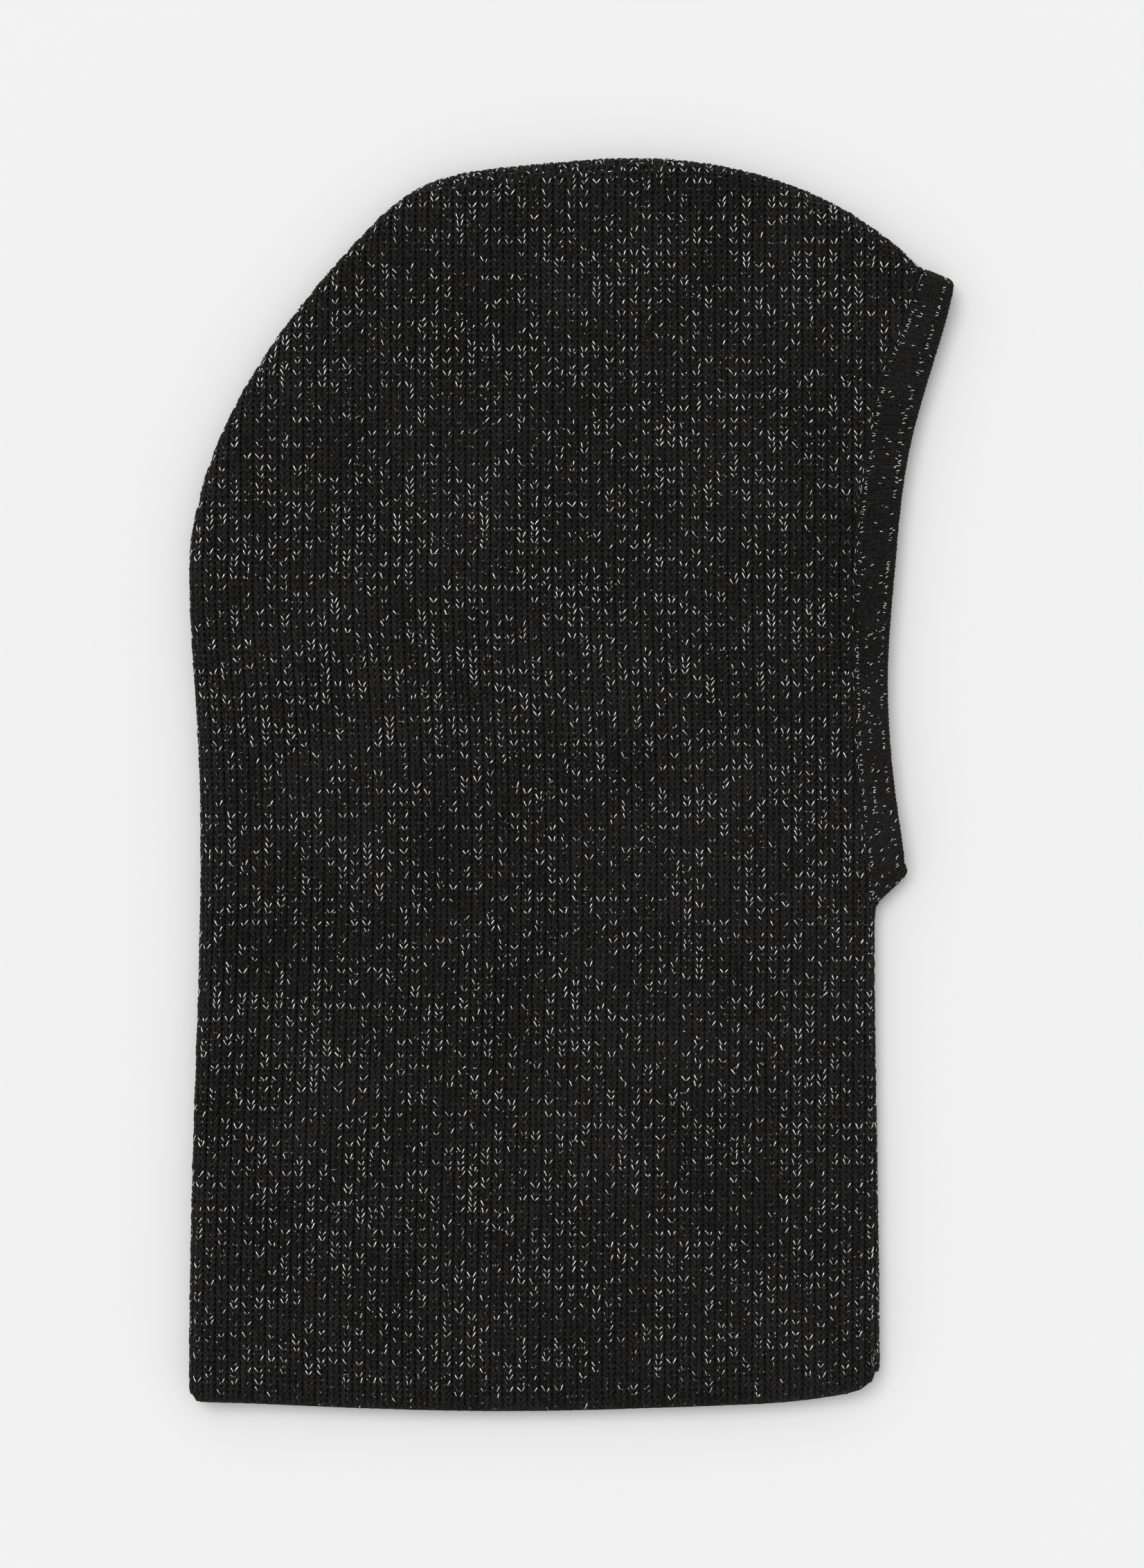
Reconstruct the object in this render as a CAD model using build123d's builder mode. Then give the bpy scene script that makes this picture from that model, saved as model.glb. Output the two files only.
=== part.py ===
"""Balaclava lying flat on its side: a ribbed hood with a knitted band round the face.

X runs from the back of the neck to the face, Y from the hem to the crown, Z up from the surface that
the hood lies on. The origin is under the middle of its outline. Millimetres.
"""

import os

from build123d import *

# Driving sizes
LENGTH = 420.0  # hem to crown
WIDTH = 257.0  # back of the neck to the upper corner of the face band
FABRIC = 3.2  # the relaxed rib fabric, and the band
HEIGHT = 12.0  # two layers of fabric with the hollow between them
GROOVE_GAP = 0.6  # each side of the linking seam
SEAM_HALF_ANGLE = 9.0  # half the wedge that a seam takes out of a turned edge, in degrees

# Worked out from them
TURN = HEIGHT / 2  # outer radius of a folded edge
MIDDLE = HEIGHT / 2
TOP_LAYER = HEIGHT - FABRIC
WALL = 4 * HEIGHT  # tall enough to cut through both layers


def place(across, up):
    """A point given from the back edge and the hem, moved to the frame's origin."""
    return (across - WIDTH / 2, up - LENGTH / 2)


def stretch(*points):
    """One smooth stretch of the outline."""
    return [place(*point) for point in points]


# The outline's corners, each given from the back edge and the hem
HEM_BACK = (0, 3.2)
HEM_FRONT = (231.8, 17)
CHIN_BACK = (230.1, 169)
CHIN_FRONT = (240.2, 178.6)
TOP_FRONT = (257, 378.9)
TOP_BACK = (244.4, 384)
ABOVE_NAPE = (3.0, 304.6)  # in line with the nape and the point below it, so the two curves run on
NAPE = (1.9, 299.1)
BELOW_NAPE = (0.8, 293.6)

# Its stretches, anticlockwise
HEM = stretch(HEM_BACK, (52, 1.2), (110, 0), (177, 1.9), (217, 5.3), (228.6, 9.8), HEM_FRONT)
THROAT = stretch(HEM_FRONT, (231.4, 60), (230.4, 120), CHIN_BACK)
GROOVE = stretch(CHIN_BACK, (225.5, 205.5), (223.6, 240.3), (224.8, 296.1), (229.9, 333.3), TOP_BACK)
FACE_EDGE = stretch(
    CHIN_FRONT,
    (237.4, 202.0),
    (234.4, 244.8),
    (236.8, 281.7),
    (241.3, 320.0),
    (246.3, 340.0),
    (252.4, 360.0),
    TOP_FRONT,
)
CROWN = stretch(
    TOP_BACK,
    (210.6, 407.5),
    (155.7, 420),
    (112.7, 417.7),
    (75.8, 409.3),
    (57.6, 393.7),
    (20.5, 346.1),
    ABOVE_NAPE,
    NAPE,
)
BACK = stretch(NAPE, BELOW_NAPE, (0, 277), (2.8, 226.6), (2.1, 115.3), HEM_BACK)
CHIN_END = stretch(CHIN_BACK, CHIN_FRONT)
TOP_END = stretch(TOP_FRONT, TOP_BACK)

# Short straight runs over the two ends of the back edge, so that no sliver is left beside them
OVER_NAPE = stretch(ABOVE_NAPE, BELOW_NAPE)
OVER_HEM = stretch((0, 8), (0, -2))


def curve(edge):
    """A straight line through two points, or a smooth curve through more."""
    if len(edge) == 2:
        return Line(*edge)
    return Spline(*edge)


def route(edge):
    """The edge's curve half-way up, as a path for a sweep."""
    with BuildLine(Plane.XY.offset(MIDDLE)) as path:
        curve(edge)
    return path.line


def across_start(path):
    """The upright plane across a path's start, with its X towards the inside of the hood."""
    along = path % 0
    inwards = Vector(0, 0, 1).cross(along)
    return Plane(origin=path @ 0, x_dir=inwards, z_dir=along)


def turned_edge(edge, first_angle, last_angle):
    """Sweeps a ring sector along an edge: 90 is the top layer, 180 the outermost line, 270 the bottom."""
    path = route(edge)
    with BuildSketch(across_start(path)) as section:
        with BuildLine():
            outer = CenterArc((TURN, 0), TURN, first_angle, last_angle - first_angle)
            inner = CenterArc((TURN, 0), TURN - FABRIC, first_angle, last_angle - first_angle)
            Line(outer @ 0, inner @ 0)
            Line(outer @ 1, inner @ 1)
        make_face()
    sweep(section.sketch, path=path)


def strip(edge, outside, inside, height, middle=0.0, mode=Mode.ADD):
    """Sweeps an upright rectangle along an edge, from outside the line to inside it."""
    path = route(edge)
    with BuildSketch(across_start(path)) as section:
        with Locations(((inside - outside) / 2, middle)):
            Rectangle(inside + outside, height)
    sweep(section.sketch, path=path, mode=mode)


def clear_turned_edges():
    """Cuts back a flat layer to where the turned edges start."""
    for edge in (BACK, CROWN, THROAT, CHIN_END, TOP_END, OVER_NAPE, OVER_HEM):
        strip(edge, outside=1, inside=TURN, height=WALL, mode=Mode.SUBTRACT)


def clear_groove():
    strip(GROOVE, outside=GROOVE_GAP, inside=GROOVE_GAP, height=WALL, mode=Mode.SUBTRACT)


def flat_layer(edges, level):
    """One flat layer of fabric inside a ring of edges, its lower face at this level."""
    with BuildSketch(Plane.XY.offset(level)) as outline:
        with BuildLine():
            for edge in edges:
                curve(edge)
        make_face()
    extrude(outline.sketch, amount=FABRIC)
    clear_turned_edges()
    clear_groove()


PANEL_EDGES = (HEM, THROAT, GROOVE, CROWN, BACK)
BAND_EDGES = (CHIN_END, FACE_EDGE, TOP_END, GROOVE)

# The hood panel: the side that faces up, the side it lies on and the fold down the back of the neck
with BuildPart() as panel_near_side:
    flat_layer(PANEL_EDGES, TOP_LAYER)

with BuildPart() as panel_far_side:
    flat_layer(PANEL_EDGES, 0)

with BuildPart() as panel_back_fold:
    turned_edge(BACK, 90, 270)

# The head's two halves turn towards each other over the crown and are joined by a seam
with BuildPart() as crown_turn_near:
    turned_edge(CROWN, 90, 180 - SEAM_HALF_ANGLE)

with BuildPart() as crown_turn_far:
    turned_edge(CROWN, 180 + SEAM_HALF_ANGLE, 270)

with BuildPart() as crown_seam:
    turned_edge(CROWN, 180 - SEAM_HALF_ANGLE, 180 + SEAM_HALF_ANGLE)

# The throat is closed the same way, from the chin to the hem
with BuildPart() as throat_turn_near:
    turned_edge(THROAT, 90, 180 - SEAM_HALF_ANGLE)

with BuildPart() as throat_turn_far:
    turned_edge(THROAT, 180 + SEAM_HALF_ANGLE, 270)

with BuildPart() as throat_seam:
    turned_edge(THROAT, 180 - SEAM_HALF_ANGLE, 180 + SEAM_HALF_ANGLE)

# The yarn end of the throat seam, left as a small curl of loops on the turned edge above the hem.
# Each point of its route is an angle round the turned edge, from straight up, and a height.
KNOT_RADIUS = 0.4
KNOT_ROUTE = [(74, 18.0), (52, 17.8), (33, 19.2), (32, 22.2), (50, 24.0), (66, 22.8), (62, 20.4), (48, 20.2)]
KNOT_REACH = TURN + KNOT_RADIUS + 0.02


def on_throat_turn(angle, up):
    """A point of the curl, resting on the turned edge of the throat."""
    turned = Vector(0, 0, 1).rotate(Axis.Y, angle) * KNOT_REACH
    across, along = place(HEM_FRONT[0] - TURN, up)
    return Vector(across, along, MIDDLE) + turned


with BuildPart() as seam_end_knot:
    with BuildLine() as knot_line:
        Spline(*[on_throat_turn(angle, up) for angle, up in KNOT_ROUTE])
    with BuildSketch(Plane(origin=knot_line.line @ 0, z_dir=knot_line.line % 0)):
        Circle(KNOT_RADIUS)
    sweep(path=knot_line.line)

# The face band: a strip in two flat runs, turned over at the top corner and joined at the chin
with BuildPart() as face_band_near:
    flat_layer(BAND_EDGES, TOP_LAYER)

with BuildPart() as face_band_far:
    flat_layer(BAND_EDGES, 0)

with BuildPart() as face_band_top_turn:
    turned_edge(TOP_END, 90, 270)

with BuildPart() as face_band_chin_near:
    turned_edge(CHIN_END, 90, 180 - SEAM_HALF_ANGLE)

with BuildPart() as face_band_chin_far:
    turned_edge(CHIN_END, 180 + SEAM_HALF_ANGLE, 270)

with BuildPart() as chin_join:
    turned_edge(CHIN_END, 180 - SEAM_HALF_ANGLE, 180 + SEAM_HALF_ANGLE)

# The linking seam between panel and band lies sunk in the groove on each layer
SEAM_WIDTH = 1.0
SEAM_DEPTH = 2.0
SEAM_LEVEL = MIDDLE - FABRIC / 2
SEAM_ENDS = (177, 377)  # from the hem, clear of the turned ends of the band


def linking_seam(level):
    """Sweeps a thin ribbon along the groove and cuts it square at both ends."""
    strip(GROOVE, outside=SEAM_WIDTH / 2, inside=SEAM_WIDTH / 2, height=SEAM_DEPTH, middle=level)
    for height, kept in zip(SEAM_ENDS, (Keep.TOP, Keep.BOTTOM)):
        split(bisect_by=Plane(place(0, height) + (0,), z_dir=(0, 1, 0)), keep=kept)


with BuildPart() as linking_seam_near:
    linking_seam(SEAM_LEVEL)

with BuildPart() as linking_seam_far:
    linking_seam(-SEAM_LEVEL)

# A blank care label, folded double, lies inside on the far layer beside the back fold
LABEL_WIDTH = 16.0
LABEL_LENGTH = 34.0
LABEL_THICK = 0.8
LABEL_CORNER = place(9, 46)

with BuildPart() as care_label:
    with BuildSketch(Plane.XY.offset(FABRIC)):
        with Locations(LABEL_CORNER):
            RectangleRounded(LABEL_LENGTH, LABEL_WIDTH, 1.0, align=(Align.MIN, Align.MIN))
    extrude(amount=LABEL_THICK)

# Its stitches, a short row of bars over the end that is caught in
STITCH_COUNT = 5
STITCH_PITCH = 3.0
STITCH_INSET = 2.5
STITCH_LENGTH = 2.2
STITCH_THICK = 0.4

with BuildPart() as label_stitches:
    with BuildSketch(Plane.XY.offset(FABRIC + LABEL_THICK)):
        with Locations((LABEL_CORNER[0] + STITCH_INSET, LABEL_CORNER[1] + LABEL_WIDTH / 2)):
            with GridLocations(STITCH_PITCH, STITCH_PITCH, 1, STITCH_COUNT):
                SlotOverall(STITCH_LENGTH, STITCH_THICK, rotation=90)
    extrude(amount=STITCH_THICK)

PIECES = {
    "panel_near_side": panel_near_side,
    "panel_far_side": panel_far_side,
    "panel_back_fold": panel_back_fold,
    "crown_turn_near": crown_turn_near,
    "crown_turn_far": crown_turn_far,
    "crown_seam": crown_seam,
    "throat_turn_near": throat_turn_near,
    "throat_turn_far": throat_turn_far,
    "throat_seam": throat_seam,
    "seam_end_knot": seam_end_knot,
    "face_band_near": face_band_near,
    "face_band_far": face_band_far,
    "face_band_top_turn": face_band_top_turn,
    "face_band_chin_near": face_band_chin_near,
    "face_band_chin_far": face_band_chin_far,
    "chin_join": chin_join,
    "linking_seam_near": linking_seam_near,
    "linking_seam_far": linking_seam_far,
    "care_label": care_label,
    "label_stitches": label_stitches,
}

os.makedirs("parts", exist_ok=True)
for name, piece in PIECES.items():
    piece.part.label = name
    export_step(piece.part, f"parts/{name}.step")
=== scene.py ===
# %% [markdown]
# # A rib-knit balaclava, laid flat
#
# The hood lies on its side on a pale table: two layers of black one-by-one rib with a silver thread
# in it, folded down the back of the neck, seamed over the crown and down the throat, and edged round
# the face with a finer knitted band. A plain surface with a bump map would look like a rubber mat, so
# every stitch is real geometry here: two plump legs of yarn that meet in a V.


import math

import bpy
import numpy as np
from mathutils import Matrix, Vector, geometry


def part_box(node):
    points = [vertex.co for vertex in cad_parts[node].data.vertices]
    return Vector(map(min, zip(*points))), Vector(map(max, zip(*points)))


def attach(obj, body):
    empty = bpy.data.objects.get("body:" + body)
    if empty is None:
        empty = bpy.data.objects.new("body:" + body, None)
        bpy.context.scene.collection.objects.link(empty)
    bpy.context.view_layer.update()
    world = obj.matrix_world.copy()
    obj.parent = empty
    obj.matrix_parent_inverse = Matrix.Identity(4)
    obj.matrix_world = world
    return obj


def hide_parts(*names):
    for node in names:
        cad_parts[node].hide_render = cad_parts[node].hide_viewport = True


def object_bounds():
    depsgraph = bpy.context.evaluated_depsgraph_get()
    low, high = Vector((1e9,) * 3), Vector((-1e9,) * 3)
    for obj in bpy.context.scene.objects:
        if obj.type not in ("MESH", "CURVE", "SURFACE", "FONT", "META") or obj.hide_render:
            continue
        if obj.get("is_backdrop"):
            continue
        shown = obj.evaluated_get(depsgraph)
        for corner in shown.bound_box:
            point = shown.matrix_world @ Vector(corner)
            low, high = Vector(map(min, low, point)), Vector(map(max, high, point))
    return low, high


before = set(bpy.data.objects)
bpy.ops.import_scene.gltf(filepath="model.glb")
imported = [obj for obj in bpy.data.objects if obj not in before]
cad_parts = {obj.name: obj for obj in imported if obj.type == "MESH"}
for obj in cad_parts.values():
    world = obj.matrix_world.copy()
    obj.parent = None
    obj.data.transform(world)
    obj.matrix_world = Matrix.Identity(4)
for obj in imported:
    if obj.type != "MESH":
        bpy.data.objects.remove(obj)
CAD_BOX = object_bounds()
LOWEST, HIGHEST = (np.array(corner) for corner in CAD_BOX)
mm = 0.001
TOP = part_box("panel_near_side")[1].z
TURN = (TOP - float(LOWEST[2])) / 2  # outer radius of every folded edge
MIDDLE = float(LOWEST[2]) + TURN
QUARTER = TURN * math.pi / 2  # length of fabric from the flat layer to the outermost line
NEAR, FAR = 1, -1  # the layer that faces up, and the layer on the table
SIDES = ((NEAR, "near"), (FAR, "far"))
print("the hood measures", [round(float(s) / mm, 1) for s in HIGHEST - LOWEST], "mm")


# %% [markdown]
# ## Reading the outline from the frame
#
# The flat layers and the turned edges of the CAD model hold the hood's outline. A layer's top face
# gives the line round its flat part, and the top line of a turned edge is where the fabric starts to
# roll over. Every line can be put in order by its bearing from the middle of the hood.


# %% Lines from the CAD nodes
HUB = (LOWEST[:2] + HIGHEST[:2]) / 2
WIDTH, LENGTH = HIGHEST[:2] - LOWEST[:2]
STEP = 0.5 * mm
FIRST_BEARING = math.atan2(-LENGTH, -WIDTH) + 0.03  # just past the back corner of the hem
RIM_BEYOND = 9 * mm  # how far the rims of the face band are carried on past their ends


def top_points(node):
    """The plan positions of a node's vertices on its top face, each once."""
    co = np.array([v.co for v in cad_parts[node].data.vertices])
    on_top = co[np.abs(co[:, 2] - TOP) < 0.01 * mm][:, :2]
    return np.unique(on_top.round(6), axis=0)


def by_bearing(points):
    """Points in anticlockwise order round the hub, starting at the back corner of the hem."""
    bearing = np.arctan2(points[:, 1] - HUB[1], points[:, 0] - HUB[0])
    return points[np.argsort((bearing - FIRST_BEARING) % (2 * math.pi))]


def respaced(line, step):
    """The same line with points at an even step."""
    run = np.concatenate([[0], np.cumsum(np.linalg.norm(np.diff(line, axis=0), axis=1))])
    at = np.linspace(0, run[-1], max(2, round(run[-1] / step) + 1))
    return np.stack([np.interp(at, run, line[:, k]) for k in range(line.shape[1])], 1)


def outward(line):
    """Unit normals to the right of a line that runs anticlockwise round the hood."""
    along = np.gradient(line, axis=0)
    along /= np.linalg.norm(along, axis=1)[:, None]
    return np.stack([along[:, 1], -along[:, 0]], 1)


throat_rim, chin_rim, top_rim, crown_rim, back_rim = (
    respaced(by_bearing(top_points(node)), STEP)
    for node in (
        "throat_turn_near",
        "face_band_chin_near",
        "face_band_top_turn",
        "crown_turn_near",
        "panel_back_fold",
    )
)
front_rim = respaced(np.concatenate([throat_rim, chin_rim]), STEP)
head_rim = respaced(np.concatenate([top_rim, crown_rim, back_rim]), STEP)
PANEL_RIM = [
    np.concatenate([front_rim, head_rim]),
    np.concatenate([outward(front_rim), outward(head_rim)]),
]


def straight_rim(rim, beyond):
    """A band end's rim as a straight line, carried on past both its ends."""
    along = (rim[-1] - rim[0]) / np.linalg.norm(rim[-1] - rim[0])
    line = respaced(np.array([rim[0] - beyond * along, rim[-1] + beyond * along]), STEP)
    return line, outward(line)


chin_line, top_line = (straight_rim(rim, RIM_BEYOND) for rim in (chin_rim, top_rim))
BAND_RIM = [np.concatenate(pair) for pair in zip(chin_line, top_line)]
print("the panel rolls over along", round(len(PANEL_RIM[0]) * STEP / mm), "mm of edge")


# %% [markdown]
# ## Rolling the flat fabric over its edges
#
# Each layer is worked out flat, as a knitter would draw it, and then rolled over the edges without
# stretching. A point that lies past a rim by some length of fabric goes round a circle by that
# length. Heights are given from the outermost skin of the fabric, so a negative height lies inside.


# %% How the upper layer comes down
SETTLE = 16 * mm  # how far from a fold the upper layer takes to come down
SAG = 1.3 * mm  # how far it comes down
WAVES = 0.12 * mm  # how unevenly
REACH = SETTLE + 12 * mm  # no point further than this from a rim can be lifted by it


def smooth(value, low, high):
    """A soft step from 0 at low to 1 at high."""
    t = np.clip((value - low) / (high - low), 0, 1)
    return t * t * (3 - 2 * t)


# %% Rolling and unrolling
def past_rim(points, rim):
    """For each point the way out at its nearest rim point, and how far past the rim it lies."""
    line, way_out = rim
    coarse = line[::24]
    index = np.zeros(len(points), int)
    past = np.full(len(points), -2 * SETTLE)
    for start in range(0, len(points), 4000):
        part = points[start : start + 4000]
        away = ((part[:, None] - coarse[None]) ** 2).sum(2).min(1) ** 0.5
        close = np.nonzero(away < REACH)[0]
        nearest = ((part[close][:, None] - line[None]) ** 2).sum(2).argmin(1)
        index[start + close] = nearest
        past[start + close] = ((part[close] - line[nearest]) * way_out[nearest]).sum(1)
    return way_out[index], past


def roll(points, height, side, rim=PANEL_RIM):
    """Places of flat-fabric points in space, and the way out of the fabric there."""
    normal, past = past_rim(points, rim)
    turned = np.clip(past, 0, None)
    angle = turned / TURN
    x, y = points[:, 0] / mm, points[:, 1] / mm
    waves = np.sin(x / 31 + y / 47 + 1.3) + np.sin(y / 29 - x / 55 + 0.4) + np.sin(x / 19 + 2.2)
    sag = (SAG + WAVES * waves) * smooth(-past, 0, SETTLE) * (side == NEAR)
    radius = TURN + height - sag
    plan = points - normal * (turned - radius * np.sin(angle))[:, None]
    up = np.column_stack([normal * np.sin(angle)[:, None], side * np.cos(angle)])
    return np.column_stack([plan, MIDDLE + side * radius * np.cos(angle)]), up


def unroll(plan, rim=PANEL_RIM):
    """Flat-fabric points for points of the outline seen from above."""
    normal, past = past_rim(plan, rim)
    over = np.clip(past, 0, TURN)
    return plan + normal * (TURN * np.arcsin(over / TURN) - np.clip(past, 0, None))[:, None]


# %% [markdown]
# ## The shape of each half, flat
#
# The crown seam doesn't sit on the outermost line: over the top of the head the far half wraps over
# and the seam lies a little way down the near side. So the near half of the panel ends early there
# and the far half goes on past the edge.


# %% Distances along the outline
SEAM_SHIFT = 8.4 * mm  # how far the crown seam lies in from the outermost line
CORNER = 4 * mm  # radius of the back corner of the hem
BAND_NARROWS = 2.9 * mm  # how much narrower the face band is at its top end
panel_points = top_points("panel_near_side")
band_points = top_points("face_band_near")


def gap_to(points, line):
    """The distance from each point to the nearest point of a line."""
    return np.sqrt(((points[:, None] - line[None]) ** 2).sum(2)).min(1)


def crown_shift(points):
    """How far the crown seam lies from the outermost line, towards the near side."""
    share = (points[:, 0] - LOWEST[0]) / WIDTH
    return SEAM_SHIFT * smooth(share, 0.27, 0.36) * (1 - smooth(share, 0.58, 0.72))


# %% The hem
low = panel_points[panel_points[:, 1] <= throat_rim[0, 1] + 0.1 * mm]
low = low[(low[:, 0] > back_rim[-1, 0] + mm) & (gap_to(low, throat_rim) > mm)]
rounding = np.linspace(0, CORNER, 9)
lift = CORNER - np.sqrt(CORNER**2 - (CORNER - rounding) ** 2)
back_corner = back_rim[-1] + np.column_stack([rounding - TURN, lift])
hem_plan = np.concatenate([back_corner, back_rim[-1:], low[np.argsort(low[:, 0])]])
hem_flat = unroll(hem_plan)


# %% The groove beside the face band
groove = panel_points[
    (panel_points[:, 1] > chin_rim[0, 1] + mm)
    & (panel_points[:, 1] < top_rim[-1, 1])
    & (gap_to(panel_points, band_points) < 8 * mm)
    & (gap_to(panel_points, crown_rim) > mm)
]
groove = respaced(groove[np.argsort(groove[:, 1])], STEP)
near_top = smooth(groove[:, 1], groove[-1, 1] - 27 * mm, groove[-1, 1] - 9 * mm)
groove = groove + [BAND_NARROWS, 0] * near_top[:, None]
way, past = past_rim(groove[-1:], top_line)
groove_end = groove[-1:] + way * (QUARTER - past)[:, None]


# %% The whole outline of each half
def panel_outline(side):
    """The panel's outline in flat fabric, anticlockwise from the back of the hem."""
    crown_out = QUARTER - side * crown_shift(crown_rim)
    return np.concatenate(
        [
            respaced(hem_flat, 2 * mm),
            (throat_rim + outward(throat_rim) * QUARTER)[1:],
            groove[2:],
            groove_end,
            crown_rim + outward(crown_rim) * crown_out[:, None],
            (back_rim + outward(back_rim) * QUARTER)[: -round(CORNER / STEP)],
        ]
    )


OUTLINE = {side: panel_outline(side) for side in (NEAR, FAR)}


def area_of(loop):
    """The area inside a closed loop."""
    x, y = loop.T
    return abs((x * np.roll(y, -1) - y * np.roll(x, -1)).sum()) / 2


for side in (NEAR, FAR):
    print("flat area of the half", side, round(area_of(OUTLINE[side]) * 1e4, 1), "square cm")


# %% [markdown]
# ## The lie of the ribs
#
# The ribs run up the hood from the hem. At the back of the neck they follow the fold, and towards
# the face they run straight. The rows start along the hem and are level by the time they reach the
# chin.


# %% From stitch counts to flat fabric
RIB = 4.18 * mm
ROW = 2.0 * mm
HEM_RISE = 13 * mm  # the most that the hem's curve lifts the first row
HEM_FADE = 90 * mm  # how far up the rows take to become level
back_line = back_rim + outward(back_rim) * QUARTER
back_line = back_line[np.argsort(back_line[:, 1])]
straight_above = 0.69 * LENGTH + LOWEST[1]


def back_curve(y):
    """How far the back fold bends in from a straight line at each height."""
    at = np.interp(np.minimum(y, straight_above), back_line[:, 1], back_line[:, 0])
    return at - back_line[:, 0].min()


def panel_place(across, up):
    """Where a point of the knitting lies in the flat panel. Across counts from the back fold."""
    y = up + LOWEST[1]
    x = back_line[:, 0].min() + across
    bend = back_curve(y) * np.clip(1 - across / WIDTH, 0, 1)
    hem = np.clip(np.interp(x + bend, hem_flat[:, 0], hem_flat[:, 1]) - LOWEST[1], 0, HEM_RISE)
    return np.stack([x + bend, y + hem * (1 - smooth(up, 0, HEM_FADE))], -1)


def inside(points, loop):
    """Which points lie inside a closed loop."""
    x, y = points.T
    found = np.zeros(len(points), bool)
    for (ax, ay), (bx, by) in zip(loop, np.roll(loop, -1, axis=0)):
        if ay != by:
            crosses = (y < ay) != (y < by)
            found ^= crosses & (x < ax + (y - ay) * (bx - ax) / (by - ay))
    return found


# %% [markdown]
# ## Tools for making meshes
#
# A stitch leg is a short tube that narrows to a point at both ends. Thousands of tubes go into one
# mesh at a time, and each carries its own tone so that no two stitches are quite alike.


# %% A mesh from arrays
rng = np.random.default_rng(19)


def mesh_piece(name, co, faces, material, values=None):
    """A new object from points and lists of faces, with a flat map seen from above."""
    mesh = bpy.data.meshes.new(name)
    mesh.vertices.add(len(co))
    mesh.vertices.foreach_set("co", np.ascontiguousarray(co, dtype=np.float32).ravel())
    corners = np.concatenate([f.ravel() for f in faces]).astype(np.int32)
    sizes = np.concatenate([np.full(len(f), f.shape[1]) for f in faces])
    mesh.loops.add(len(corners))
    mesh.loops.foreach_set("vertex_index", corners)
    mesh.polygons.add(len(sizes))
    starts = np.concatenate([[0], np.cumsum(sizes)[:-1]]).astype(np.int32)
    mesh.polygons.foreach_set("loop_start", starts)
    mesh.update(calc_edges=True)
    mesh.shade_smooth()
    plan = co[:, :2] - co[:, :2].min(0)
    flat_map = mesh.uv_layers.new(name="OFBake")
    flat_map.data.foreach_set("uv", (plan / plan.max())[corners].astype(np.float32).ravel())
    for key, value in (values or {}).items():
        layer = mesh.attributes.new(key, "FLOAT", "POINT")
        layer.data.foreach_set("value", np.asarray(value, dtype=np.float32))
    mesh.materials.append(material)
    piece = bpy.data.objects.new(name, mesh)
    bpy.context.scene.collection.objects.link(piece)
    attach(piece, "root")
    return piece


# %% Tubes
def tubes(centre, up, wide, tall, sides=6, lumps=0.0):
    """Tubes through rows of points. The first and last point of each row are its tips."""
    count, stops = centre.shape[:2]
    along = np.gradient(centre, axis=1)
    along /= np.linalg.norm(along, axis=2, keepdims=True)
    across = np.cross(along, up)
    across /= np.linalg.norm(across, axis=2, keepdims=True)
    rise = np.cross(across, along)
    turn = np.linspace(0, 2 * math.pi, sides, endpoint=False)
    cos, sin = np.cos(turn)[:, None], np.sin(turn)[:, None]
    mid = slice(1, stops - 1)
    wide = np.broadcast_to(wide, (count, stops))[:, mid, None, None]
    tall = np.broadcast_to(tall, (count, stops))[:, mid, None, None]
    lump = 1 + lumps * np.clip(rng.normal(size=(count, stops - 2, sides, 1)), -2, 2)
    spokes = wide * cos * across[:, mid, None] + tall * sin * rise[:, mid, None]
    rings = centre[:, mid, None] + lump * spokes
    co = np.concatenate([centre[:, :1], rings.reshape(count, -1, 3), centre[:, -1:]], axis=1)
    size = co.shape[1]
    here = np.arange(sides)
    after = (here + 1) % sides
    quads = np.concatenate(
        [
            np.stack([b + here, b + sides + here, b + sides + after, b + after], 1)
            for b in 1 + sides * np.arange(stops - 3)
        ]
    )
    last = size - 1 - sides
    tips = np.concatenate(
        [
            np.stack([0 * here, 1 + here, 1 + after], 1),
            np.stack([0 * here + size - 1, last + after, last + here], 1),
        ]
    )
    shift = (size * np.arange(count))[:, None, None]
    return co.reshape(-1, 3), [(quads + shift).reshape(-1, 4), (tips + shift).reshape(-1, 3)], size


# %% [markdown]
# ## Materials
#
# The yarn is a matt black with a little warmth and a soft halo. Its tone drifts from stitch to
# stitch, and fine fibres show as grain and as a bump. One flat black would hide the stitches, so
# three noises of different sizes and each stitch's own tone are added up and sent through a ramp.
# The silver thread is a narrow metal foil, and its tone from glint to glint is partly painted
# reflection. The face band is a finer, flatter yarn in the same black.


# %% Node helpers
def node_material(name):
    """A new material, its node tree and its Principled shader."""
    material = bpy.data.materials.new(name)
    material.use_nodes = True
    tree = material.node_tree
    return material, tree, tree.nodes["Principled BSDF"]


def add(tree, kind, **settings):
    """A new node, with its settings or its inputs' values given by name."""
    node = tree.nodes.new(kind)
    for key, value in settings.items():
        if hasattr(node, key):
            setattr(node, key, value)
        else:
            node.inputs[key.replace("_", " ")].default_value = value
    return node


# %% Yarn
TONE_WEIGHT, PATCH_WEIGHT, FUZZ_WEIGHT = 0.7, 0.9, 5.5  # how much each source changes the yarn's tone


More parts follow.
